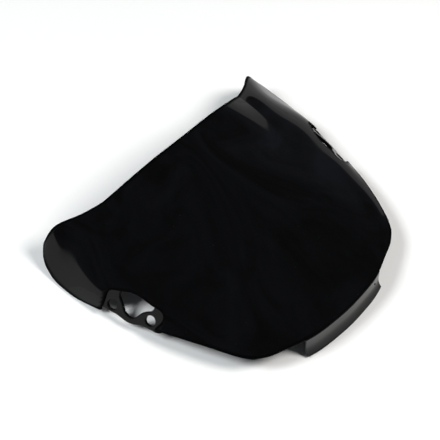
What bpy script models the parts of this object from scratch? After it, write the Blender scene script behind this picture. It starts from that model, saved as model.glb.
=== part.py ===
"""Windshield screen of a sport motorcycle: one glossy black moulding, modelled as the four regions
it is built from: the domed panel with its two wings, the skirt (tongue) at the nose, and the two
recessed seats that take the mirror stays.

Frame: +Z up, -Y towards the front of the motorcycle, X across; X = 0 is the plane of symmetry.
The screen lies dome up on the lower edges of its wings and on its nose tongue, on Z = 0.
Lengths below are millimetres; the objects are built in metres.
"""

import math

import bmesh
import bpy
import numpy as np
from mathutils import Matrix, Vector

MM = 0.001
HANDS = {"left": 1, "right": -1}    # the rider's left is +X

# --- driving dimensions -------------------------------------------------------------------------
WALL = 3.0                 # wall of the moulding
GAP = 0.3                  # clearance between neighbouring pieces
SEAT_WALL = 4.0            # the mirror seats are thicker
SEAT_LAP = 4.5             # how far a seat reaches under the panel around its opening
POCKET_WALL = 2.6          # the pocket's wall rises this far, or up to the panel's inner face
BOLT_HOLE = 13.0           # clearance hole for a mirror bolt and its rubber bush
HOLE_SIDES = 40
# Middle of the outline on the ground, in the coordinates of the dimensions below: the row's origin.
ORIGIN = Vector((0.0, -48.8, 0.7))

COLUMNS = 22               # mesh columns from the centre line to the side edge
ROWS = 34                  # mesh rows from the rear edge to the nose
CREASE_COLUMN = 3          # column of the net that runs along the crease between dome and wing
CREASE_REACH = 0.33        # share of the length over which the crease fades out

# Sections of the outer surface, from the rear edge (0) to the nose edge (1). Each runs from the
# centre line over the dome, its flank, the crease and the wing to where the side starts to drop.
SECTIONS = {
    0.00: [(0, 62, 125), (46, 64.5, 120.5), (88, 72, 105), (118, 83, 83.5), (147, 98.5, 69),
           (172, 115.5, 54)],
    0.14: [(0, 28, 117.5), (46, 30, 105), (88, 36, 91.5), (121, 42.5, 75.5), (151, 60.5, 64.5),
           (177.5, 76, 39.5)],
    0.29: [(0, -10, 107.5), (46, -8, 97.5), (88, -3, 80.5), (119, 3, 66.5), (152, 13.5, 54.5),
           (182.5, 20.5, 34.5)],
    0.44: [(0, -50, 97), (46, -48, 90.5), (88, -45, 76), (117, -41, 64), (146, -34, 51.5),
           (169, -28.5, 39)],
    0.58: [(0, -95, 84), (46, -93, 80), (85, -90, 70.5), (112.5, -86, 59.5), (139.5, -80, 48),
           (160, -73, 38)],
    0.74: [(0, -140, 68), (40, -139.5, 65), (75, -139, 59), (101.5, -138, 51), (121, -136.5, 44),
           (137.5, -134.5, 38.5)],
    0.85: [(0, -178, 53), (35, -177, 51.5), (65, -174.8, 48), (90, -170.5, 43.5), (110.5, -165.3, 39),
           (127, -160.3, 35)],
    1.00: [(0, -212.5, 37), (26, -211.3, 36.9), (50, -208.6, 36.5), (71, -203, 35.5),
           (92.4, -194.3, 33), (111, -186.3, 31.3)],
}
# The side edge, from the rear corner round the wing, past the mirror seat, to the front corner.
SIDE_EDGE = {
    0.00: (189, 121.5, 28.5), 0.045: (199, 112, 16), 0.09: (204, 99.5, 8.5), 0.14: (206.5, 86, 4.2),
    0.21: (206.5, 62, 2.5), 0.29: (203, 36, 3.8), 0.355: (197.6, 8, 10.3), 0.44: (190.5, -22, 16),
    0.58: (175, -66.5, 23), 0.66: (163, -100, 29), 0.74: (149.8, -132, 31.7), 0.80: (144.4, -144.3, 31.5),
    0.85: (139, -155.5, 31.3), 0.93: (132.4, -166.8, 31), 1.00: (126, -175.1, 31),
}

# Plane of the mirror seat on the +X side: a point on its face, its outward normal, and in the
# plane an axis pointing forward (s) and one pointing down the slope (t).
SEAT_POINT = Vector((182.8, -25.2, 18.5))
SEAT_NORMAL = Vector((0.784, -0.165, 0.600)).normalized()
SEAT_DOWN = SEAT_NORMAL.cross(Vector((-0.185, -0.982, -0.039))).normalized()
SEAT_FORWARD = SEAT_DOWN.cross(SEAT_NORMAL)
SEAT_HOLES = {"rear": (-24.8, -2.8), "front": (27.8, -10.5)}
# Opening in the panel over the seat (s, t); it runs out through the panel's side edge.
OPENING = [(-35, 30), (-35.5, 8), (-36.4, -8), (-36.3, -14), (-34, -18), (-30, -20.8),
           (-24.5, -22.8), (-18.5, -25.2), (-12, -27.8), (-5.5, -29.8), (1, -30.5), (8, -30.4),
           (17, -29.4), (27, -29), (35.5, -28.6), (40, -26.5), (42.2, -22), (41.8, -17),
           (39.5, -11.5), (37.5, -6), (36.5, 0), (36, 30)]
# Free outer edge of the seat: a lobe below each bolt hole and one below the cut-out.
SEAT_EDGE = [(-38.5, 6.4), (-35.5, 8), (-28, 7.3), (-22, 6.9), (-14.4, 6.5), (-6, 7.6), (0.6, 8),
             (7.3, 6.8), (14.5, 3.9), (22.5, 1.3), (29.3, 0.6), (36.1, -0.1), (42.6, -1.5), (46.5, -3.8)]
# Cut-out between the lobes of the two bolt holes, open at the top to the edge of the panel.
CUTOUT = [(-18.5, -40), (-21, -22), (-19.8, -17), (-15.8, -12.6), (-11.4, -7.8), (-7, -2.6),
          (-2.3, -0.4), (2, 0.1), (5.2, -0.7), (8.1, -3), (11, -8), (13.6, -12.8), (16.4, -15.6),
          (20.4, -18.6), (24.6, -22), (26.4, -27), (26.4, -40)]

TONGUE_HALF = 67.0         # half width of the tongue
TONGUE_CORNER = 2.5        # radius of the tongue's lower corners
TONGUE_DROP = 3.9          # the tongue starts this far below the top of the nose edge
# Section of the tongue: (distance forward of the nose edge, height above the ground).
TONGUE_SECTION = [(0.0, 36.2), (0.1, 29.0), (0.3, 22.0), (0.8, 16.0), (2.0, 11.0), (4.0, 6.4), (6.6, 2.6)]

BLACK = (0.006, 0.006, 0.008, 1.0)


# --- curves -------------------------------------------------------------------------------------
def spline(knots, points, at):
    """Natural cubic spline through points, read at the parameters in at."""
    t = np.asarray(knots, float)
    p = np.asarray(points, float)
    at = np.asarray(at, float)
    n = len(t)
    h = np.diff(t)
    system = np.eye(n)
    right = np.zeros_like(p)
    for i in range(1, n - 1):
        system[i, i - 1:i + 2] = h[i - 1], 2.0 * (h[i - 1] + h[i]), h[i]
        right[i] = 6.0 * ((p[i + 1] - p[i]) / h[i] - (p[i] - p[i - 1]) / h[i - 1])
    bend = np.linalg.solve(system, right)
    k = np.clip(np.searchsorted(t, at) - 1, 0, n - 2)
    a = ((t[k + 1] - at) / h[k])[:, None]
    b = ((at - t[k]) / h[k])[:, None]
    span = (h[k] ** 2 / 6.0)[:, None]
    return a * p[k] + b * p[k + 1] + span * ((a ** 3 - a) * bend[k] + (b ** 3 - b) * bend[k + 1])


def chord_knots(points, power=0.75):
    steps = np.linalg.norm(np.diff(points, axis=0), axis=1) ** power
    return np.concatenate([[0.0], np.cumsum(steps)])


def smooth_line(points, step):
    """Points about step apart on a spline through points."""
    points = np.asarray(points, float)
    knots = chord_knots(points, 1.0)
    return spline(knots, points, np.linspace(0.0, knots[-1], max(2, round(knots[-1] / step) + 1)))


# --- the outer surface --------------------------------------------------------------------------
def section_at(v):
    """The net's points across the half screen at v, from the centre line to the side edge."""
    stations = sorted(SECTIONS)
    across = [spline(stations, [SECTIONS[s][c] for s in stations], [v])[0] for c in range(6)]
    across.append(spline(sorted(SIDE_EDGE), [SIDE_EDGE[s] for s in sorted(SIDE_EDGE)], [v])[0])
    return np.array(across)


def surface_row(v, shares):
    """One row of the outer surface: a spline across the section, creased near the rear edge."""
    half = section_at(v)
    whole = np.vstack([half[:0:-1] * (-1, 1, 1), half])
    knots = chord_knots(whole)
    centre = len(half) - 1
    at = knots[centre] + np.asarray(shares) * (knots[-1] - knots[centre])
    smooth = spline(knots, whole, at)
    crease = max(0.0, 1.0 - v / CREASE_REACH)
    if crease == 0.0:
        return smooth
    k = centre + CREASE_COLUMN
    mirror = centre - CREASE_COLUMN
    dome = spline(knots[mirror:k + 1], whole[mirror:k + 1], np.minimum(at, knots[k]))
    wing = spline(knots[k:], whole[k:], np.maximum(at, knots[k]))
    creased = np.where((at <= knots[k])[:, None], dome, wing)
    return smooth + crease * (creased - smooth)


def rounded(outline):
    """An open outline with its inner points joined by a smooth curve; the ends run out straight."""
    curve = smooth_line(outline[1:-1], 2.5)
    return [outline[0]] + [tuple(point) for point in curve] + [outline[-1]]


def surface_grid(beyond=0.0):
    """Rows of points on the left half; beyond adds a column past the side edge, in millimetres."""
    shares = np.linspace(0.0, 1.0, COLUMNS + 1)
    grid = np.array([surface_row(v, shares) for v in np.linspace(0.0, 1.0, ROWS + 1)])
    if beyond:
        step = grid[:, -1] - grid[:, -2]
        step *= beyond / np.linalg.norm(step, axis=1)[:, None]
        grid = np.concatenate([grid, (grid[:, -1] + step)[:, None]], axis=1)
    return grid


# --- meshes -------------------------------------------------------------------------------------
def link(name, bm, collection):
    bmesh.ops.translate(bm, verts=bm.verts, vec=-ORIGIN * MM)
    mesh = bpy.data.meshes.new(name)
    bm.to_mesh(mesh)
    bm.free()
    obj = bpy.data.objects.new(name, mesh)
    collection.objects.link(obj)
    return obj


def grid_mesh(grid, flip=False):
    """Quads over a grid of points in millimetres."""
    bm = bmesh.new()
    rows = [[bm.verts.new(Vector(p) * MM) for p in row] for row in grid]
    for a, b in zip(rows, rows[1:]):
        for i in range(len(a) - 1):
            face = (a[i], a[i + 1], b[i + 1], b[i])
            bm.faces.new(face[::-1] if flip else face)
    return bm


def seat_point(s, t, side, height=0.0):
    """Point of the seat's plane, side +1 on the left of the motorcycle and -1 on its right."""
    point = SEAT_POINT + SEAT_FORWARD * s + SEAT_DOWN * t + SEAT_NORMAL * height
    return Vector((side * point.x, point.y, point.z))


def prism(name, outline, side, low, high, collection):
    """Closed prism over an outline in the seat's plane, from low to high along its normal."""
    bm = bmesh.new()
    ends = []
    for height in (low, high):
        ends.append([bm.verts.new(seat_point(s, t, side, height) * MM) for s, t in outline])
    bm.faces.new(ends[0])
    bm.faces.new(ends[1][::-1])
    count = len(outline)
    for i in range(count):
        j = (i + 1) % count
        bm.faces.new((ends[0][i], ends[1][i], ends[1][j], ends[0][j]))
    bmesh.ops.recalc_face_normals(bm, faces=bm.faces)
    return link(name, bm, collection)


def cut(obj, cutter, operation="DIFFERENCE"):
    boolean = obj.modifiers.new(cutter.name, "BOOLEAN")
    boolean.operation = operation
    boolean.solver = "EXACT"
    boolean.object = cutter


def sheet(obj, thickness, offset=-1.0):
    solid = obj.modifiers.new("wall", "SOLIDIFY")
    solid.thickness = thickness * MM
    solid.offset = offset
    solid.use_even_offset = True


def gloss(obj, name, roughness):
    material = bpy.data.materials.new(name)
    material.use_nodes = True
    shader = material.node_tree.nodes["Principled BSDF"]
    shader.inputs["Base Color"].default_value = BLACK
    shader.inputs["Roughness"].default_value = roughness
    shader.inputs["Metallic"].default_value = 0.0
    obj.data.materials.clear()
    obj.data.materials.append(material)


# --- the pieces ---------------------------------------------------------------------------------
def half_panel(name, collection, beyond=0.0):
    obj = link(name, grid_mesh(surface_grid(beyond), flip=True), collection)
    mirror = obj.modifiers.new("mirror", "MIRROR")
    mirror.merge_threshold = 0.0001
    return obj


def make_panel(parts, cutters):
    obj = half_panel("screen_panel", parts)
    sheet(obj, WALL)
    for hand, side in HANDS.items():
        cut(obj, prism("opening_" + hand, rounded(OPENING), side, -25.0, 25.0, cutters))
    gloss(obj, "gloss_black_panel", 0.05)
    return obj


def grown(outline, distance):
    """The open outline moved outwards by distance (inwards if negative), ends square to it."""
    points = np.asarray(outline, float)
    along = np.gradient(points, axis=0)
    along /= np.linalg.norm(along, axis=1)[:, None]
    return points + distance * np.stack([along[:, 1], -along[:, 0]], axis=1)


def seat_outline():
    """The seat's plate: its free edge below, and a lap under the panel round the opening."""
    rim = [point for point in OPENING if point[1] < -7.5]
    lap = [tuple(point) for point in grown(rim, SEAT_LAP)]
    return lap + [tuple(p) for p in smooth_line(SEAT_EDGE, 3.0)[::-1]]


def hole_cutter(name, s, t, side, collection):
    """Cylinder through the seat at one bolt hole."""
    bm = bmesh.new()
    bmesh.ops.create_cone(bm, cap_ends=True, segments=HOLE_SIDES, radius1=BOLT_HOLE / 2 * MM,
                          radius2=BOLT_HOLE / 2 * MM, depth=40.0 * MM)
    axis = Vector((side * SEAT_NORMAL.x, SEAT_NORMAL.y, SEAT_NORMAL.z))
    turn = Vector((0.0, 0.0, 1.0)).rotation_difference(axis).to_matrix().to_4x4()
    bm.transform(Matrix.Translation(seat_point(s, t, side) * MM) @ turn)
    return link(name, bm, collection)


def make_seats(parts, cutters):
    """The two mirror seats: flat floors whose walls rise under the panel to its inner face."""
    skin = half_panel("panel_clearance", cutters, beyond=5.0)
    sheet(skin, 2.0 * (WALL + GAP), offset=0.0)
    inner = grown(rounded(OPENING), -GAP)
    for hand, side in HANDS.items():
        cut(skin, prism("seat_room_" + hand, inner, side, -30.0, 30.0, cutters))
    for hand, side in HANDS.items():
        seat = prism("mirror_seat_" + hand, seat_outline(), side, -SEAT_WALL, POCKET_WALL, parts)
        cut(seat, skin)
        cut(seat, prism("pocket_" + hand, rounded(OPENING), side, 0.0, 30.0, cutters))
        cut(seat, prism("cutout_" + hand, rounded(CUTOUT), side, -20.0, 20.0, cutters))
        for place, (s, t) in SEAT_HOLES.items():
            cut(seat, hole_cutter("bolt_hole_%s_%s" % (place, hand), s, t, side, cutters))
        gloss(seat, "gloss_black_seat_" + hand, 0.06)


def nose_edge(x):
    """Point of the panel's nose edge at x."""
    row = surface_row(1.0, np.linspace(0.0, 1.0, 81))
    return np.array([x, np.interp(x, row[:, 0], row[:, 1]), np.interp(x, row[:, 0], row[:, 2])])


def make_tongue(parts):
    profile = smooth_line(TONGUE_SECTION, 4.0)
    xs = np.linspace(0.0, TONGUE_HALF, 19)
    grid = []
    for x in xs:
        start = nose_edge(x)
        # the lower corner is rounded off: the skirt ends higher up towards its side
        inside = max(0.0, x - (TONGUE_HALF - TONGUE_CORNER))
        lift = TONGUE_CORNER - math.sqrt(max(0.0, TONGUE_CORNER ** 2 - inside ** 2))
        low = profile[-1, 1] + 0.8 * lift
        top = start[2] - TONGUE_DROP
        share = (profile[:, 1] - profile[-1, 1]) / (profile[0, 1] - profile[-1, 1])
        heights = low + share * (top - low)
        grid.append([(x, start[1] - f, z) for f, z in zip(profile[:, 0], heights)])
    obj = link("nose_tongue", grid_mesh(grid), parts)
    mirror = obj.modifiers.new("mirror", "MIRROR")
    mirror.merge_threshold = 0.0001
    sheet(obj, WALL)
    gloss(obj, "gloss_black_tongue", 0.06)
    return obj


def main():
    for obj in list(bpy.data.objects):
        bpy.data.objects.remove(obj, do_unlink=True)
    parts = bpy.data.collections.new("windshield_screen")
    cutters = bpy.data.collections.new("cutters")
    for collection in (parts, cutters):
        bpy.context.scene.collection.children.link(collection)
    make_panel(parts, cutters)
    make_tongue(parts)
    make_seats(parts, cutters)
    for obj in cutters.objects:
        obj.hide_render = True
        obj.display_type = "WIRE"


main()
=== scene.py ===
"""Looks of the windshield screen: a glossy black moulding lying dome up on a pale floor.

The outer surface is the same spline surface that the CAD solids are made from, sampled finely here,
so that its reflections run smoothly. Every piece is closed, has rounded rims, and stands for one
CAD node. Lengths are millimetres until a mesh is made; the frame's origin is the row's.
"""

import math

import bmesh
import bpy
import numpy as np
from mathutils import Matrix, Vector
from mathutils.geometry import delaunay_2d_cdt


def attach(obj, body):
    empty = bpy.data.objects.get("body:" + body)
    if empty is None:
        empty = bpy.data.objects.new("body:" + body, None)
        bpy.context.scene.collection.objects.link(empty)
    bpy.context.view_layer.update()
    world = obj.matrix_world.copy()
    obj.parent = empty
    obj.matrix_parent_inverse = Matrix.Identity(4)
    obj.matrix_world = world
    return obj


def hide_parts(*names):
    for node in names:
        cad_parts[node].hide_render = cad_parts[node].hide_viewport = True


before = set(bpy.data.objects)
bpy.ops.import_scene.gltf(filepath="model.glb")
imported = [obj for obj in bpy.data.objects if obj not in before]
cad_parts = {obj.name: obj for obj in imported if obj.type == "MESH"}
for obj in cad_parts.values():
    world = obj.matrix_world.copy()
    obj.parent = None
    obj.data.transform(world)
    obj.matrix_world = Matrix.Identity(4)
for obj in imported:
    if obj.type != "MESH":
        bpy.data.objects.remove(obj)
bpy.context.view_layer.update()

MM = 0.001
HANDS = {"left": 1, "right": -1}    # the rider's left is +X
ORIGIN = np.array([0.0, -48.8, 0.7])    # the row's origin in the coordinates of the dimensions below

# --- the design's dimensions, as in the CAD -------------------------------------------------------
WALL = 3.0                 # wall of the moulding
SEAT_WALL = 4.0            # the mirror seats are thicker
BOLT_HOLE = 13.0           # diameter of the mirror bolts' holes
CREASE_COLUMN = 3          # column of the net that runs along the crease between dome and wing
CREASE_REACH = 0.33        # share of the length over which the crease fades out

# Sections of the outer surface, from the rear edge (0) to the nose edge (1): six points each, from
# the centre line outwards, the fourth one where the crease runs.
SECTIONS = {
    0.00: [(0, 62, 125), (46, 64.5, 120.5), (88, 72, 105), (118, 83, 83.5), (147, 98.5, 69),
           (172, 115.5, 54)],
    0.14: [(0, 28, 117.5), (46, 30, 105), (88, 36, 91.5), (121, 42.5, 75.5), (151, 60.5, 64.5),
           (177.5, 76, 39.5)],
    0.29: [(0, -10, 107.5), (46, -8, 97.5), (88, -3, 80.5), (119, 3, 66.5), (152, 13.5, 54.5),
           (182.5, 20.5, 34.5)],
    0.44: [(0, -50, 97), (46, -48, 90.5), (88, -45, 76), (117, -41, 64), (146, -34, 51.5),
           (169, -28.5, 39)],
    0.58: [(0, -95, 84), (46, -93, 80), (85, -90, 70.5), (112.5, -86, 59.5), (139.5, -80, 48),
           (160, -73, 38)],
    0.74: [(0, -140, 68), (40, -139.5, 65), (75, -139, 59), (101.5, -138, 51), (121, -136.5, 44),
           (137.5, -134.5, 38.5)],
    0.85: [(0, -178, 53), (35, -177, 51.5), (65, -174.8, 48), (90, -170.5, 43.5), (110.5, -165.3, 39),
           (127, -160.3, 35)],
    1.00: [(0, -212.5, 37), (26, -211.3, 36.9), (50, -208.6, 36.5), (71, -203, 35.5),
           (92.4, -194.3, 33), (111, -186.3, 31.3)],
}
# The side edge, from the rear corner round the wing, past the mirror seat, to the front corner.
SIDE_EDGE = {
    0.00: (189, 121.5, 28.5), 0.045: (199, 112, 16), 0.09: (204, 99.5, 8.5), 0.14: (206.5, 86, 4.2),
    0.21: (206.5, 62, 2.5), 0.29: (203, 36, 3.8), 0.355: (197.6, 8, 10.3), 0.44: (190.5, -22, 16),
    0.58: (175, -66.5, 23), 0.66: (163, -100, 29), 0.74: (149.8, -132, 31.7),
    0.80: (144.4, -144.3, 31.5), 0.85: (139, -155.5, 31.3), 0.93: (132.4, -166.8, 31),
    1.00: (126, -175.1, 31),
}

# Plane of the mirror seat on the +X side: a point on its face, its outward normal, and in the
# plane an axis pointing forward (s) and one pointing down the slope (t).
SEAT_POINT = np.array([182.8, -25.2, 18.5])
SEAT_NORMAL = np.array([0.784, -0.165, 0.600])
SEAT_NORMAL /= np.linalg.norm(SEAT_NORMAL)
SEAT_DOWN = np.cross(SEAT_NORMAL, (-0.185, -0.982, -0.039))
SEAT_DOWN /= np.linalg.norm(SEAT_DOWN)
SEAT_FORWARD = np.cross(SEAT_DOWN, SEAT_NORMAL)
SEAT_HOLES = [(-24.8, -2.8), (27.8, -10.5)]
# Opening in the panel over the seat, the seat's free outer edge, and the cut-out between its lobes.
OPENING = [(-35.5, 8), (-36.4, -8), (-36.3, -14), (-34, -18), (-30, -20.8), (-24.5, -22.8),
           (-18.5, -25.2), (-12, -27.8), (-5.5, -29.8), (1, -30.5), (8, -30.4), (17, -29.4), (27, -29),
           (35.5, -28.6), (40, -26.5), (42.2, -22), (41.8, -17), (39.5, -11.5), (37.5, -6), (36.5, 0)]
SEAT_EDGE = [(-35.5, 8), (-28, 7.3), (-22, 6.9), (-14.4, 6.5), (-6, 7.6), (0.6, 8), (7.3, 6.8),
             (14.5, 3.9), (22.5, 1.3), (29.3, 0.6), (36.1, -0.1), (42.6, -1.5), (46.5, -3.8)]
CUTOUT = [(-21, -22), (-19.8, -17), (-15.8, -12.6), (-11.4, -7.8), (-7, -2.6), (-2.3, -0.4), (2, 0.1),
          (5.2, -0.7), (8.1, -3), (11, -8), (13.6, -12.8), (16.4, -15.6), (20.4, -18.6), (24.6, -22),
          (26.4, -27)]

TONGUE_HALF = 67.0         # half width of the tongue
TONGUE_CORNER = 2.5        # radius of the tongue's lower corners
# Section of the tongue: (distance forward of the nose edge, height).
TONGUE_SECTION = [(0.0, 36.2), (0.1, 29.0), (0.3, 22.0), (0.8, 16.0), (2.0, 11.0), (4.0, 6.4),
                  (6.6, 2.6)]

# --- fineness of the looks ------------------------------------------------------------------------
RIM = WALL / 2             # the sheet's edges are fully rounded
CELL = 3.2                 # spacing of the surface's points
RIM_STEP = 1.3             # spacing of points along a rim
ROUND_STEPS = 8            # facets round a rim's half circle
RIM_SHADE_BAND = 4.0            # how far in from the panel's edges the full gloss starts; the band outside it is dulled to paint the dark reflection of the rounded rims
RIM_CLEARANCE = 0.7        # about the least distance of other points from the rim's first ring
EDGE_POINTS = 60           # first sampling of the nose edge and of each part of the side edge
REAR_POINTS = 80           # and of the rear edge
LENGTH = 345.0             # about the panel's length, from rear edge to nose
DOME_GIRTH = 133.0         # about the way from the centre line to the crease
WING_GIRTH = 125.0         # about the way from the crease to the side edge
CREASE_OFFSETS = (-0.006, -0.003, 0.003, 0.006)    # extra points beside the crease, as shares
SEAT_STEP = 1.2            # spacing of points along a seat's lines
OUTLINE_STEP = 1.0         # spacing of points along a seat's closed outline
OPENING_START = (0.86, 0.43)    # (share, v) near the middle of a seat's opening
OPENING_LOW = (0.5, 0.2)        # bounds of the (share, v) where the opening is searched
OPENING_HIGH = (1.06, 0.8)
PAST_SIDE = (0, 8)              # carries the opening's ends past the side edge, in (s, t)
REAR_END = 6.0                  # the t at which the seat's rear end gives way to its free edge
FRONT_END = -1.0                # and its front end
CUTOUT_REAR = (-0.2, -6)        # carries the cut-out's rear end under the panel, in (s, t)
CUTOUT_FRONT = (0, -4.5)        # and its front end
SEAT_LAP = 1.2             # how far a seat reaches under the panel
SEAT_RIM = 1.1             # rounding of the seats' upper edges
SEAT_LOW_RIM = 0.5         # rounding of the seats' lower edges
ROUNDING_FIT = 0.6         # greatest rounding, as a share of the largest disc that fits there
LEAST_ROUNDING = 0.02      # least rounding, as a share of the full one
RIM_SHADE_FROM = math.radians(70)    # a seat's edge is dulled, as painted shade standing in for its dark reflection, from this turn of its surface... ...to this one, in radians, just short of its lower face
RIM_SHADE_TO = 3.0                   # ...to this one, in radians, just short of its lower face
TONGUE_COLUMNS = 91        # columns of points across the tongue
NOSE_POINTS = 161          # sampling of the nose edge that the tongue hangs from
TONGUE_STEP = 1.5          # spacing of points down the tongue
TONGUE_DROP = 1.6          # how far the tongue's top lies below the panel's outer surface
TONGUE_LIFT = 0.8          # share of the corner's rounding that raises the tongue's foot
TONGUE_RIM = 1.2           # rounding of the tongue's edges

# --- tones ----------------------------------------------------------------------------------------
BLACK = (0.0014, 0.0014, 0.0015, 1.0)
DUST = (0.02, 0.02, 0.02, 1.0)
REFRACTION = 1.3
SMUDGE_SCALE = 14.0
SMUDGE_SPAN = (0.56, 0.78)                  # values of the noise over which a smudge sets in
DUST_SCALE = 95.0
DUST_SPAN = (0.02, 0.035)                   # distance from a speck's middle over which it ends
CLEAN_ROUGHNESS = 0.035
SMEARED_ROUGHNESS = 0.12
# painted shade on the rims: rougher and far less reflective, standing in for the dark reflection that
# rounded edges show
RIM_SHADE_ROUGHNESS = 0.55
FULL_SHINE = 0.5
RIM_SHADE_SHINE = 0.05
FLOOR_TONE = (0.86, 0.86, 0.86, 1.0)
FLOOR_MIRRORED = (0.36, 0.36, 0.36, 1.0)    # what the gloss mirrors of the floor's far side
FLOOR_DIM_SPAN = (0.16, 0.24)               # over these distances to the far side, in metres
ROOM_DARK = (0.05, 0.05, 0.05, 1.0)
ROOM_CLOUD = (0.17, 0.185, 0.24, 1.0)
WHITE_SPAN = (-0.1, 0.75)                   # sideways part of the direction, near to far...
WHITE_TONES = (0.95, 0.5)                   # ...and the tones of the white band over it
FILL = (0.02, 0.023, 0.027, 1.0)            # the dim light that surfaces receive from all round
SHOWN = (1.0, 1.0, 1.0, 1.0)                # the background behind the floor

# --- the studio, in metres ------------------------------------------------------------------------
AIM = Vector((0.0, 0.0488, 0.00569))            # where the camera and the lights point
BACK = Vector((-0.41164, -0.39943, 0.81915))    # from there towards the camera
CAMERA_DISTANCE = 1.42
CAMERA_LENS = 90.98        # millimetres
FLOOR_HALF = 0.65
FLOOR_DROP = 0.0002        # the floor lies just under the part
BAND_TOP = 9.0             # degrees above the horizon where the white surroundings end
BAND_BLEND = 0.4           # half of the width, in degrees, over which they end
# Soft lights: name, place, diameter, power in watts, colour.
LIGHTS = [
    ("top", (-0.1, 0.1, 1.7), 1.0, 0.6, (1.0, 1.0, 1.0)),
    ("warm_right", (1.04, -1.44, 2.24), 1.1, 68.0, (1.0, 0.98, 0.95)),
    ("cool_left", (-1.5, 0.98, 2.24), 1.1, 64.0, (0.95, 0.985, 1.0)),
]


# --- curves ---------------------------------------------------------------------------------------
class Spline:
    """Natural cubic spline through points, called with an array of parameters."""

    def __init__(self, knots, points):
        self.t = np.asarray(knots, float)
        self.p = np.asarray(points, float)
        n = len(self.t)
        self.h = np.diff(self.t)
        system = np.eye(n)
        right = np.zeros_like(self.p)
        for i in range(1, n - 1):
            system[i, i - 1:i + 2] = self.h[i - 1], 2.0 * (self.h[i - 1] + self.h[i]), self.h[i]
            ahead = (self.p[i + 1] - self.p[i]) / self.h[i]
            behind = (self.p[i] - self.p[i - 1]) / self.h[i - 1]
            right[i] = 6.0 * (ahead - behind)
        self.bend = np.linalg.solve(system, right)

    def __call__(self, at):
        at = np.asarray(at, float)
        t, p, h, bend = self.t, self.p, self.h, self.bend
        k = np.clip(np.searchsorted(t, at) - 1, 0, len(t) - 2)
        a = ((t[k + 1] - at) / h[k])[:, None]
        b = ((at - t[k]) / h[k])[:, None]
        span = (h[k] ** 2 / 6.0)[:, None]
        return a * p[k] + b * p[k + 1] + span * ((a ** 3 - a) * bend[k] + (b ** 3 - b) * bend[k + 1])


def chord_knots(points, power=0.75):
    """Spline parameters that grow with a power of the distance from point to point."""
    steps = np.linalg.norm(np.diff(points, axis=0), axis=1) ** power
    return np.concatenate([[0.0], np.cumsum(steps)])


def smooth_line(points, step):
    """Points about step apart on a spline through points."""
    points = np.asarray(points, float)
    knots = chord_knots(points, 1.0)
    return Spline(knots, points)(np.linspace(0.0, knots[-1], max(2, round(knots[-1] / step) + 1)))


def evenly(points, step):
    """The same polyline with its points about step apart."""
    along = np.concatenate([[0.0], np.cumsum(np.linalg.norm(np.diff(points, axis=0), axis=1))])
    at = np.linspace(0.0, along[-1], max(2, round(along[-1] / step) + 1))
    return np.stack([np.interp(at, along, points[:, k]) for k in range(points.shape[1])], axis=1)


# --- the outer surface ----------------------------------------------------------------------------
STATIONS = sorted(SECTIONS)
NET = [Spline(STATIONS, [SECTIONS[s][c] for s in STATIONS]) for c in range(6)]
NET.append(Spline(sorted(SIDE_EDGE), [SIDE_EDGE[s] for s in sorted(SIDE_EDGE)]))


def net_row(v):
    """The net's points across the whole surface at v, their knots, and the centre one's index."""
    half = np.array([line([v])[0] for line in NET])
    whole = np.vstack([half[:0:-1] * (-1, 1, 1), half])
    return whole, chord_knots(whole), len(half) - 1


def surface_row(v, shares):
    """Points of the outer surface at v, at these shares of the way from centre line to side edge."""
    whole, knots, centre = net_row(v)
    at = knots[centre] + np.asarray(shares) * (knots[-1] - knots[centre])
    smooth = Spline(knots, whole)(at)
    crease = max(0.0, 1.0 - v / CREASE_REACH)
    if crease > 0.0:
        k = centre + CREASE_COLUMN
        mirror = centre - CREASE_COLUMN
        dome = Spline(knots[mirror:k + 1], whole[mirror:k + 1])(np.minimum(at, knots[k]))
        wing = Spline(knots[k:], whole[k:])(np.maximum(at, knots[k]))
        smooth = smooth + crease * (np.where((at <= knots[k])[:, None], dome, wing) - smooth)
    return smooth - ORIGIN


def crease_share(v):
    """Where the crease lies at v, as a share of the way to the side edge."""
    _, knots, centre = net_row(v)
    return (knots[centre + CREASE_COLUMN] - knots[centre]) / (knots[-1] - knots[centre])


def surface_points(places):
    """Points and outward normals of the surface at an array of (share, v)."""
    step = 1e-3
    points = np.zeros((len(places), 3))
    normals = np.zeros((len(places), 3))
    for v in np.unique(places[:, 1]):
        rows = np.where(places[:, 1] == v)[0]
        shares = places[rows, 0]
        points[rows] = surface_row(v, shares)
        across = surface_row(v, shares + step) - surface_row(v, shares - step)
        v_low = max(0.0, v - step)
        v_high = min(1.0, v + step)
        along = surface_row(v_high, shares) - surface_row(v_low, shares)
        cross = np.cross(along, across)
        cross /= np.linalg.norm(cross, axis=1)[:, None]
        normals[rows] = cross * np.where(cross[:, 2:] < 0.0, -1.0, 1.0)
    return points, normals


def seat_place(s, t, start):
    """The (share, v) at which the surface lies over the point (s, t) of the seat's plane."""
    place = np.array(start, float)
    base = SEAT_POINT - ORIGIN

    def flat(p):
        offset = surface_row(p[1], [p[0]])[0] - base
        return np.array([offset @ SEAT_FORWARD, offset @ SEAT_DOWN])

    for _ in range(12):
        here = flat(place)
        miss = here - (s, t)
        if np.abs(miss).max() < 1e-4:
            break
        step = 1e-4
        across = (flat(place + (step, 0)) - here) / step
        along = (flat(place + (0, step)) - here) / step
        jacobian = np.stack([across, along], axis=1)
        place = place - np.linalg.solve(jacobian, miss)
        place = np.clip(place, OPENING_LOW, OPENING_HIGH)
    return place


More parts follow.
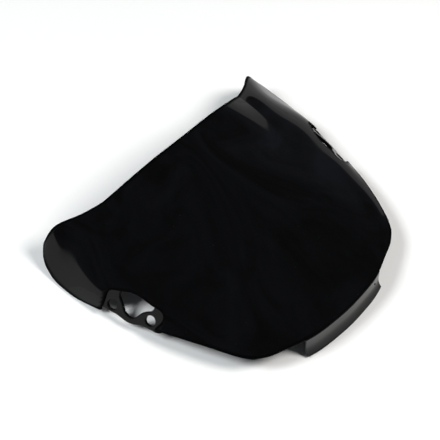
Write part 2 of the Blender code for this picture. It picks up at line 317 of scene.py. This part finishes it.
def panel_border():
    """The half panel's outline as (share, v): nose, side edge with the seat's opening, rear edge."""
    opening = smooth_line(OPENING, SEAT_STEP)
    opening = np.vstack([opening[0] + PAST_SIDE, opening, opening[-1] + PAST_SIDE])
    opening = evenly(opening, SEAT_STEP)
    middle = len(opening) // 2
    places = {middle: seat_place(*opening[middle], OPENING_START)}
    for i in range(middle + 1, len(opening)):
        places[i] = seat_place(*opening[i], places[i - 1])
    for i in range(middle - 1, -1, -1):
        places[i] = seat_place(*opening[i], places[i + 1])
    notch = np.array([places[i] for i in range(len(opening))])
    inside = np.where(notch[:, 0] < 0.999)[0]
    notch = notch[inside[0]:inside[-1] + 1]
    ends = [np.array([1.0, notch[0, 1]]), np.array([1.0, notch[-1, 1]])]
    nose = [(a, 1.0) for a in np.linspace(0.0, 1.0, EDGE_POINTS)]
    front = [(1.0, v) for v in np.linspace(1.0, ends[1][1], EDGE_POINTS)[1:]]
    back = [(1.0, v) for v in np.linspace(ends[0][1], 0.0, EDGE_POINTS)]
    rear = [(a, 0.0) for a in np.linspace(1.0, 0.0, REAR_POINTS)[1:]]
    line = np.array(nose + front + list(notch[::-1]) + back + rear)
    points, _ = surface_points(line)
    along = np.concatenate([[0.0], np.cumsum(np.linalg.norm(np.diff(points, axis=0), axis=1))])
    at = np.linspace(0.0, along[-1], round(along[-1] / RIM_STEP) + 1)
    even = np.stack([np.interp(at, along, line[:, 0]), np.interp(at, along, line[:, 1])], axis=1)
    return ease_corners(even)


def ease_corners(line, passes=3):
    """Rounds a polyline's corners by a moving average; its ends stay."""
    line = line.copy()
    for _ in range(passes):
        line[1:-1] = (line[:-2] + 2.0 * line[1:-1] + line[2:]) / 4.0
    return line


# --- meshes ---------------------------------------------------------------------------------------
def make_piece(name, points, faces, normals, material, node, edge=None):
    """A smooth-shaded piece, in metres, that stands for a CAD node; edge marks where its rims are
    dulled to paint their dark reflection.
    """
    mesh = bpy.data.meshes.new(name)
    places = [tuple(p) for p in np.asarray(points) * MM]
    mesh.from_pydata(places, [], [tuple(int(i) for i in f) for f in faces])
    mesh.validate()
    mesh.shade_smooth()
    if normals is not None:
        mesh.normals_split_custom_set_from_vertices([tuple(n) for n in normals])
    if edge is not None:
        # the mark of the rims' painted shade, read by the material
        mesh.attributes.new("painted_rim_shade", "FLOAT", "POINT").data.foreach_set("value", edge)
    mesh.materials.append(material)
    obj = bpy.data.objects.new(name, mesh)
    bpy.context.scene.collection.objects.link(obj)
    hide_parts(node)
    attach(obj, "root")
    return obj


def faced_outwards(points, faces, normals):
    """The same triangles, each wound so that it faces the way its points' normals do."""
    corner = points[faces]
    facing = np.cross(corner[:, 1] - corner[:, 0], corner[:, 2] - corner[:, 0])
    wrong = np.einsum("ij,ij->i", facing, normals[faces].sum(axis=1)) < 0.0
    faces = faces.copy()
    faces[wrong] = faces[wrong][:, ::-1]
    return faces


def inside_loop(points, loop):
    """True for each 2D point that lies inside a closed loop."""
    x, y = points[:, 0], points[:, 1]
    hit = np.zeros(len(points), bool)
    for (x1, y1), (x2, y2) in zip(loop, np.roll(loop, -1, axis=0)):
        if y1 == y2:
            continue
        over = ((y1 > y) != (y2 > y)) & (x < (x2 - x1) * (y - y1) / (y2 - y1) + x1)
        hit ^= over
    return hit


def triangles(points, loop, holes=()):
    """Triangles over 2D points whose first ones are a closed loop, then each of the holes' loops."""
    edges = []
    start = 0
    for ring in [loop, *holes]:
        count = len(ring)
        edges += [(start + i, start + (i + 1) % count) for i in range(count)]
        start += count
    vectors = [Vector(p) for p in points]
    result = delaunay_2d_cdt(vectors, edges, [], 0, 1e-7, True)
    found, faces, origin = np.array([tuple(v) for v in result[0]]), np.array(result[2]), result[3]
    if not all(origin):
        raise ValueError("an outline crosses itself")
    back = np.array([o[0] for o in origin])
    middle = found[faces].mean(axis=1)
    keep = inside_loop(middle, np.asarray(loop))
    for hole in holes:
        keep &= ~inside_loop(middle, np.asarray(hole))
    return back[faces[keep]]


def make_panel(material):
    """The domed panel: outer and inner sheets joined by a fully rounded rim."""
    border = panel_border()
    rim, rim_normal = surface_points(border)
    rim_normal[0, 0] = 0.0
    rim_normal[-1, 0] = 0.0
    padded = np.vstack([rim[1] * (-1, 1, 1), rim, rim[-2] * (-1, 1, 1)])
    run = padded[2:] - padded[:-2]
    out = np.cross(run, rim_normal)
    out /= np.linalg.norm(out, axis=1)[:, None]
    middle = rim.mean(axis=0)
    if (out[0] @ (rim[0] - middle)) < 0:
        out = -out
    # grid points well inside the border
    stations = np.linspace(0.0, 1.0, round(LENGTH / CELL) + 1)[1:-1]
    places = []
    for v in stations:
        crease = crease_share(v)
        inner = np.linspace(0.0, crease, round(DOME_GIRTH / CELL))
        outer = np.linspace(crease, 1.0, round(WING_GIRTH / CELL))
        near = [crease + offset for offset in CREASE_OFFSETS] if v < CREASE_REACH else []
        places += [(a, v) for a in sorted([*inner, *outer[1:-1], *near])]
    places = np.array(places)
    loop = np.vstack([border, [(0.0, v) for v in stations]])
    centre_count = len(loop) - len(border)
    spots, spot_normals = surface_points(places)
    clear = inside_loop(places, loop) & (places[:, 0] > 1e-6)
    from_rim = np.zeros(len(places))
    for start in range(0, len(places), 2000):
        part = slice(start, start + 2000)
        from_rim[part] = np.linalg.norm(spots[part, None] - rim[None], axis=2).min(axis=1)
    clear &= from_rim > RIM + RIM_CLEARANCE
    places, spots, spot_normals = places[clear], spots[clear], spot_normals[clear]
    # painted shade: a band in from the rim is dulled to copy the rim's dark reflection
    rim_shade_band = np.clip(RIM_SHADE_BAND - from_rim[clear], 0.0, 1.0)
    centre, centre_normals = surface_points(loop[len(border):])
    centre_normals[:, 0] = 0.0
    faces = triangles(np.vstack([loop, places]), loop)
    outer = np.vstack([rim - RIM * out, centre, spots])
    outer_normal = np.vstack([rim_normal, centre_normals, spot_normals])
    inner = outer - WALL * outer_normal
    count = len(outer)
    points = [outer, inner]
    normals = [outer_normal, -outer_normal]
    # the rim's rings and the band in from it carry the painted rim shade
    edge = [np.ones(len(border)), np.zeros(len(centre)), rim_shade_band, np.zeros(count)]
    all_faces = [faces, faces[:, ::-1] + count]
    start = 2 * count
    rings = [np.arange(len(border))]
    for i in range(1, ROUND_STEPS):
        turn = math.pi * i / ROUND_STEPS
        side = math.sin(turn) * out + math.cos(turn) * rim_normal
        points.append(rim - RIM * out - RIM * rim_normal + RIM * side)
        normals.append(side)
        edge.append(np.ones(len(border)))
        rings.append(np.arange(len(border)) + start)
        start += len(border)
    rings.append(np.arange(len(border)) + count)
    for a, b in zip(rings, rings[1:]):
        quads = np.stack([a[:-1], a[1:], b[1:], b[:-1]], axis=1)
        all_faces += [quads[:, [0, 1, 2]], quads[:, [0, 2, 3]]]
    points = np.vstack(points)
    normals = np.vstack(normals)
    faces = np.vstack(all_faces)
    on_plane = np.zeros(len(points), bool)
    ends = [0, len(border) - 1]
    for ring in rings:
        on_plane[ring[ends]] = True
    on_plane[len(border):len(border) + centre_count] = True
    on_plane[count + len(border):count + len(border) + centre_count] = True
    points[on_plane, 0] = 0.0
    faces = faced_outwards(points, faces, normals)
    points, faces, normals = mirrored(points, faces, normals, on_plane)
    edge = np.tile(np.concatenate(edge), 2)
    return make_piece("screen_panel_moulding", points, faces, normals, material,
                      "screen_panel", edge)


def rim_shade_share(turn):
    """How far a seat's edge is dulled, as painted shade for its dark reflection, where its surface has
    turned this far from the upper face.
    """
    return 1.0 if RIM_SHADE_FROM <= turn < RIM_SHADE_TO else 0.0


def mirrored(points, faces, normals, on_plane):
    """Adds the other half; points on the plane of symmetry are shared."""
    twin = np.arange(len(points)) + len(points)
    twin[on_plane] = np.where(on_plane)[0]
    points = np.vstack([points, points * (-1, 1, 1)])
    normals = np.vstack([normals, normals * (-1, 1, 1)])
    return points, np.vstack([faces, twin[faces][:, ::-1]]), normals


def flat_point(s, t, side, height):
    """The point (s, t) of a seat's plane, raised by height, on the given side of the part."""
    point = SEAT_POINT + SEAT_FORWARD * s + SEAT_DOWN * t + SEAT_NORMAL * height - ORIGIN
    return point * (side, 1, 1)


def circle(s, t, radius, count=40):
    """An anticlockwise circle in a seat's plane."""
    turn = np.linspace(0.0, 2.0 * math.pi, count, endpoint=False)
    return np.stack([s + radius * np.cos(turn), t + radius * np.sin(turn)], axis=1)


def outward_normals(loop):
    """Unit normals of a closed 2D loop, pointing to its outside if it runs anticlockwise."""
    run = np.roll(loop, -1, axis=0) - np.roll(loop, 1, axis=0)
    run /= np.linalg.norm(run, axis=1)[:, None]
    return np.stack([run[:, 1], -run[:, 0]], axis=1)


def turned_anticlockwise(loop):
    """The closed loop, reversed if it runs clockwise."""
    x, y = loop[:, 0], loop[:, 1]
    area = np.sum(x * np.roll(y, -1) - y * np.roll(x, -1))
    return loop if area > 0 else loop[::-1]


def grown(line, distance):
    """A line moved sideways by distance, to the right of its run."""
    along = np.gradient(line, axis=0)
    along /= np.linalg.norm(along, axis=1)[:, None]
    return line + distance * np.stack([along[:, 1], -along[:, 0]], axis=1)


def seat_outline():
    """Closed outline of a seat: it laps a little under the panel and has the open cut-out."""
    rim = grown(smooth_line(OPENING, SEAT_STEP), SEAT_LAP)
    cutout = smooth_line(CUTOUT, SEAT_STEP)
    rear = rim[rim[:, 0] < cutout[0, 0]]
    front = rim[(rim[:, 0] > cutout[-1, 0]) & (rim[:, 1] < FRONT_END)]
    edge = smooth_line(SEAT_EDGE, SEAT_STEP)[::-1]
    top = [cutout[:1] + CUTOUT_REAR, cutout, cutout[-1:] + CUTOUT_FRONT]
    rear = rear[(rear[:, 1] < REAR_END) & (rear[:, 1] > top[0][0, 1])]
    line = np.vstack([rear, *top, front, edge])
    closed = np.vstack([line, line[:1]])
    closed = evenly(closed, OUTLINE_STEP)[:-1]
    for _ in range(2):
        closed = (np.roll(closed, 1, axis=0) + 2 * closed + np.roll(closed, -1, axis=0)) / 4
    return turned_anticlockwise(closed)


def rounding_shares(loop, out):
    """Share of the full rounding at each point: less where the outline is narrow or turns tightly."""
    to = loop[None] - loop[:, None]
    depth = -np.einsum("ijk,ik->ij", to, out)
    inwards = depth > 1e-6
    # radius of the disc that touches the outline at a point and reaches each of the others
    radius = (to ** 2).sum(axis=2) / (2.0 * np.where(inwards, depth, 1.0))
    fitting = np.where(inwards, radius, np.inf).min(axis=1)
    share = np.minimum(1.0, ROUNDING_FIT * fitting / SEAT_RIM)
    share = np.minimum(share, np.minimum(np.roll(share, 1), np.roll(share, -1)))
    return np.maximum(share, LEAST_ROUNDING)


def make_seat(hand, side, material):
    """A flat seat with two bolt holes and rounded edges."""
    outline = seat_outline()
    holes = [circle(s, t, BOLT_HOLE / 2)[::-1] for s, t in SEAT_HOLES]
    loops = [outline, *holes]
    outs = [outward_normals(loop) for loop in loops]
    shares = [rounding_shares(loop, out) for loop, out in zip(loops, outs)]
    inset = [loop - SEAT_RIM * share[:, None] * out for loop, out, share in zip(loops, outs, shares)]
    faces = triangles(np.vstack(inset), inset[0], inset[1:])
    total = sum(len(loop) for loop in loops)
    # the edge in section: distance outwards, height, and the turn of its normal from straight up
    quarter = math.pi / 2
    low = SEAT_LOW_RIM
    edge = [(SEAT_RIM * math.sin(a), SEAT_RIM * (math.cos(a) - 1), a)
            for a in np.linspace(0, quarter, 5)]
    edge += [(SEAT_RIM - low + low * math.cos(a), -SEAT_WALL + low - low * math.sin(a), a + quarter)
             for a in np.linspace(0, quarter, 4)]
    up = SEAT_NORMAL * (side, 1, 1)
    points = []
    normals = []
    rim_shade = []
    for grow, height, turn in edge:
        for loop, out, share in zip(inset, outs, shares):
            face = 0.0 if height > -SEAT_WALL / 2 else -SEAT_WALL
            heights = face + (height - face) * share
            line = loop + grow * share[:, None] * out
            points += [flat_point(s, t, side, rise) for (s, t), rise in zip(line, heights)]
            flat = (out[:, :1] * SEAT_FORWARD + out[:, 1:] * SEAT_DOWN) * (side, 1, 1)
            normals += list(math.sin(turn) * flat + math.cos(turn) * up)
            # painted shade on the seat's rim where its surface turns past the upper face
            rim_shade += [rim_shade_share(turn)] * len(loop)
    last = (len(edge) - 1) * total
    all_faces = [faces, faces[:, ::-1] + last]
    for step in range(len(edge) - 1):
        first = step * total
        for loop in loops:
            a = np.arange(len(loop)) + first
            b = np.roll(a, -1)
            all_faces.append(np.stack([a, b, b + total], axis=1))
            all_faces.append(np.stack([a, b + total, a + total], axis=1))
            first += len(loop)
    points, normals = np.array(points), np.array(normals)
    all_faces = faced_outwards(points, np.vstack(all_faces), normals)
    return make_piece("mirror_seat_%s_moulding" % hand, points, all_faces, normals, material,
                      "mirror_seat_" + hand, rim_shade)


def make_tongue(material):
    """The skirt under the nose: a sheet with rounded edges, hung from the panel's rim."""
    row = surface_row(1.0, np.linspace(0.0, 1.0, NOSE_POINTS))
    profile = smooth_line(TONGUE_SECTION, TONGUE_STEP)
    xs = np.linspace(-TONGUE_HALF, TONGUE_HALF, TONGUE_COLUMNS)
    grid = []
    for x in xs:
        y = np.interp(abs(x), row[:, 0], row[:, 1])
        top = np.interp(abs(x), row[:, 0], row[:, 2]) - TONGUE_DROP
        inside = max(0.0, abs(x) - (TONGUE_HALF - TONGUE_CORNER))
        lift = TONGUE_CORNER - math.sqrt(max(0.0, TONGUE_CORNER ** 2 - inside ** 2))
        low = profile[-1, 1] + TONGUE_LIFT * lift - ORIGIN[2]
        share = (profile[:, 1] - profile[-1, 1]) / (profile[0, 1] - profile[-1, 1])
        heights = low + share * (top - low)
        grid.append([(x, y - f, z) for f, z in zip(profile[:, 0], heights)])
    grid = np.array(grid)
    rows, columns = grid.shape[:2]
    faces = []
    for i in range(rows - 1):
        for j in range(columns - 1):
            k = i * columns + j
            faces.append((k, k + columns, k + columns + 1, k + 1))
    obj = make_piece("nose_tongue_moulding", grid.reshape(-1, 3), faces, None, material,
                     "nose_tongue")
    solid = obj.modifiers.new("wall", "SOLIDIFY")
    solid.thickness = WALL * MM
    solid.offset = 1.0 if obj.data.polygons[0].normal.y > 0 else -1.0
    bevel = obj.modifiers.new("rim", "BEVEL")
    bevel.width = TONGUE_RIM * MM
    bevel.segments = 3
    bevel.limit_method = "ANGLE"
    bevel.angle_limit = math.radians(60)


# --- materials ------------------------------------------------------------------------------------
def map_range(tree, source, span, result):
    """A node that maps source from one span of values to another; returns its output socket."""
    node = tree.nodes.new("ShaderNodeMapRange")
    node.inputs["From Min"].default_value, node.inputs["From Max"].default_value = span
    node.inputs["To Min"].default_value, node.inputs["To Max"].default_value = result
    tree.links.new(source, node.inputs["Value"])
    return node.outputs["Result"]


def mixed(tree, kind, factor, first, second):
    """A node that mixes two values, each a constant or a socket; returns its output socket."""
    node = tree.nodes.new("ShaderNodeMix")
    node.data_type = kind
    tree.links.new(factor, node.inputs["Factor"])
    for name, value in (("A", first), ("B", second)):
        if isinstance(value, bpy.types.NodeSocket):
            tree.links.new(value, node.inputs[name])
        else:
            node.inputs[name].default_value = value
    return node.outputs["Result"]


def gloss_black(name):
    """Polished black plastic with faint handling smudges and dust specks; its edges are dulled to
    paint the dark reflection of their rounded rims.
    """
    material = bpy.data.materials.new(name)
    material.use_nodes = True
    tree = material.node_tree
    nodes, links = tree.nodes, tree.links
    shader = nodes["Principled BSDF"]
    shader.inputs["IOR"].default_value = REFRACTION
    where = nodes.new("ShaderNodeTexCoord")
    smudge = nodes.new("ShaderNodeTexNoise")
    smudge.inputs["Scale"].default_value = SMUDGE_SCALE
    smudge.inputs["Detail"].default_value = 4.0
    smudge.inputs["Distortion"].default_value = 0.6
    links.new(where.outputs["Object"], smudge.inputs["Vector"])
    smear = map_range(tree, smudge.outputs["Fac"], SMUDGE_SPAN,
                      (CLEAN_ROUGHNESS, SMEARED_ROUGHNESS))
    # painted shade: rims marked in the mesh turn rough and barely reflective, which draws them as dark
    # lines
    rim_shade_attribute = nodes.new("ShaderNodeAttribute")
    rim_shade_attribute.attribute_name = "painted_rim_shade"
    finish = mixed(tree, "FLOAT", rim_shade_attribute.outputs["Fac"], smear, RIM_SHADE_ROUGHNESS)
    links.new(finish, shader.inputs["Roughness"])
    shine = map_range(tree, rim_shade_attribute.outputs["Fac"], (0.0, 1.0), (FULL_SHINE, RIM_SHADE_SHINE))
    links.new(shine, shader.inputs["Specular IOR Level"])
    dust = nodes.new("ShaderNodeTexVoronoi")
    dust.inputs["Scale"].default_value = DUST_SCALE
    dust.inputs["Randomness"].default_value = 1.0
    links.new(where.outputs["Object"], dust.inputs["Vector"])
    speck = map_range(tree, dust.outputs["Distance"], DUST_SPAN, (1.0, 0.0))
    links.new(mixed(tree, "RGBA", speck, BLACK, DUST), shader.inputs["Base Color"])
    return material


def pale_floor():
    """A matt pale floor, which the gloss mirrors dimmer on the far side."""
    material = bpy.data.materials.new("floor")
    material.use_nodes = True
    tree = material.node_tree
    nodes, links = tree.nodes, tree.links
    shader = nodes["Principled BSDF"]
    where = nodes.new("ShaderNodeTexCoord")
    split = nodes.new("ShaderNodeSeparateXYZ")
    links.new(where.outputs["Object"], split.inputs["Vector"])
    dim = map_range(tree, split.outputs["X"], FLOOR_DIM_SPAN, (0.0, 1.0))
    path = nodes.new("ShaderNodeLightPath")
    both = nodes.new("ShaderNodeMath")
    both.operation = "MULTIPLY"
    links.new(dim, both.inputs[0])
    links.new(path.outputs["Is Glossy Ray"], both.inputs[1])
    tone = mixed(tree, "RGBA", both.outputs["Value"], FLOOR_TONE, FLOOR_MIRRORED)
    links.new(tone, shader.inputs["Base Color"])
    shader.inputs["Roughness"].default_value = 0.9
    shader.inputs["Specular IOR Level"].default_value = 0.0
    return material


# --- stage ----------------------------------------------------------------------------------------
def make_floor():
    """The floor, which belongs to the stage and not to the part."""
    bm = bmesh.new()
    bmesh.ops.create_grid(bm, x_segments=1, y_segments=1, size=FLOOR_HALF)
    mesh = bpy.data.meshes.new("floor")
    bm.to_mesh(mesh)
    bm.free()
    mesh.materials.append(pale_floor())
    floor = bpy.data.objects.new("floor", mesh)
    floor.location = (0.0, 0.0, -FLOOR_DROP)
    bpy.context.scene.collection.objects.link(floor)


def make_world():
    """The studio as the gloss mirrors it: white low down, dimmer on the far side, and dark above.

    Other surfaces receive a dim fill light from it, and behind the floor it shows as white.
    """
    world = bpy.data.worlds.new("studio")
    world.use_nodes = True
    bpy.context.scene.world = world
    tree = world.node_tree
    nodes, links = tree.nodes, tree.links
    where = nodes.new("ShaderNodeTexCoord")
    split = nodes.new("ShaderNodeSeparateXYZ")
    links.new(where.outputs["Generated"], split.inputs["Vector"])
    # the unlit upper room: faintly cloudy and a little bluish
    cloud = nodes.new("ShaderNodeTexNoise")
    cloud.inputs["Scale"].default_value = 3.2
    cloud.inputs["Detail"].default_value = 5.0
    cloud.inputs["Roughness"].default_value = 0.62
    links.new(where.outputs["Generated"], cloud.inputs["Vector"])
    room = nodes.new("ShaderNodeValToRGB")
    dark, light = room.color_ramp.elements
    dark.position, dark.color = 0.36, ROOM_DARK
    light.position, light.color = 0.72, ROOM_CLOUD
    links.new(cloud.outputs["Fac"], room.inputs["Fac"])
    blend = [math.sin(math.radians(BAND_TOP + turn)) for turn in (-BAND_BLEND, BAND_BLEND)]
    height = map_range(tree, split.outputs["Z"], blend, (0.0, 1.0))
    low = map_range(tree, split.outputs["X"], WHITE_SPAN, WHITE_TONES)
    mirrored_room = mixed(tree, "RGBA", height, low, room.outputs["Color"])
    path = nodes.new("ShaderNodeLightPath")
    lit = mixed(tree, "RGBA", path.outputs["Is Diffuse Ray"], mirrored_room, FILL)
    shown = mixed(tree, "RGBA", path.outputs["Is Camera Ray"], lit, SHOWN)
    links.new(shown, nodes["Background"].inputs["Color"])


def aimed(obj, place, target):
    """Links a light or a camera to the scene, at place and pointing at target."""
    obj.location = place
    obj.rotation_euler = (Vector(place) - Vector(target)).to_track_quat("Z", "Y").to_euler()
    bpy.context.scene.collection.objects.link(obj)


def soft_light(name, place, size, power, colour):
    """A round light that the gloss does not mirror."""
    light = bpy.data.lights.new(name, "AREA")
    light.shape = "DISK"
    light.size = size
    light.energy = power
    light.color = colour
    obj = bpy.data.objects.new(name, light)
    aimed(obj, place, AIM)
    obj.visible_glossy = False


def make_camera():
    """The camera of the reference view."""
    camera = bpy.data.cameras.new("camera")
    camera.lens = CAMERA_LENS
    camera.sensor_width = 36.0
    camera.clip_end = 50.0
    obj = bpy.data.objects.new("camera", camera)
    aimed(obj, AIM + CAMERA_DISTANCE * BACK, AIM)
    bpy.context.scene.camera = obj


def main():
    bpy.context.scene.view_settings.view_transform = "Standard"
    black = gloss_black("gloss_black")
    make_panel(black)
    for hand, side in HANDS.items():
        make_seat(hand, side, black)
    make_tongue(black)
    make_floor()
    make_world()
    for light in LIGHTS:
        soft_light(*light)
    make_camera()


main()
